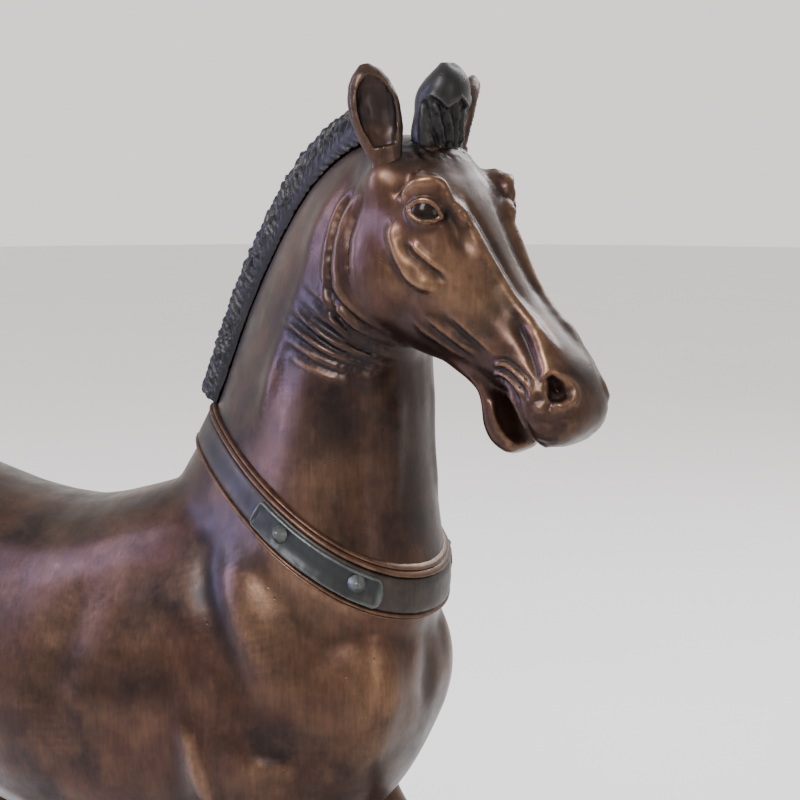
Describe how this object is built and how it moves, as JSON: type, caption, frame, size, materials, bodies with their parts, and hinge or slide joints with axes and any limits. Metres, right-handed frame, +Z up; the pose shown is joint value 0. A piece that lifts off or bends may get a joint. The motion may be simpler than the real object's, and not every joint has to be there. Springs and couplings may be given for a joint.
{
  "type": "bronze horse statuette",
  "caption": "Cast bronze statuette of a walking horse with a clipped mane and a studded collar, on a stepped stone plinth.",
  "frame": {"origin": "on the underside of the felt pad, below the middle of the plinth", "axes": "+X the way the horse walks, +Y its left side, +Z up"},
  "size_m": [0.3378, 0.116, 0.4087],
  "materials": {
    "brown_bronze": "dark brown lacquered patina, rubbed on the high spots",
    "black_bronze": "black patina, satin",
    "rubbed_bronze": "black patina rubbed through to a coppery edge",
    "grey_bronze": "grey-green patina, semi-gloss",
    "eye": "black lacquer, gloss",
    "stone": "polished black marble",
    "felt": "green felt",
    "steel": "plain zinc plate"
  },
  "bodies": {
    "root": {"plinth": "stone", "felt_pad": "felt", "hoof_studs": "steel", "stud_washers": "steel", "stud_nuts": "steel", "body_casting": "brown_bronze", "neck_casting": "brown_bronze", "head_casting": "brown_bronze", "mane_crest": "black_bronze", "forelock_tuft": "black_bronze", "left_ear": "brown_bronze", "right_ear": "brown_bronze", "left_eye": "eye", "right_eye": "eye", "collar_band": "black_bronze", "collar_upper_rim": "rubbed_bronze", "collar_lower_rim": "rubbed_bronze", "collar_plates": "grey_bronze", "collar_bosses": "grey_bronze", "left_foreleg": "brown_bronze", "right_foreleg": "brown_bronze", "left_hind_leg": "brown_bronze", "right_hind_leg": "brown_bronze", "tail_casting": "brown_bronze", "tail_pin": "steel"}
  },
  "joints": []
}
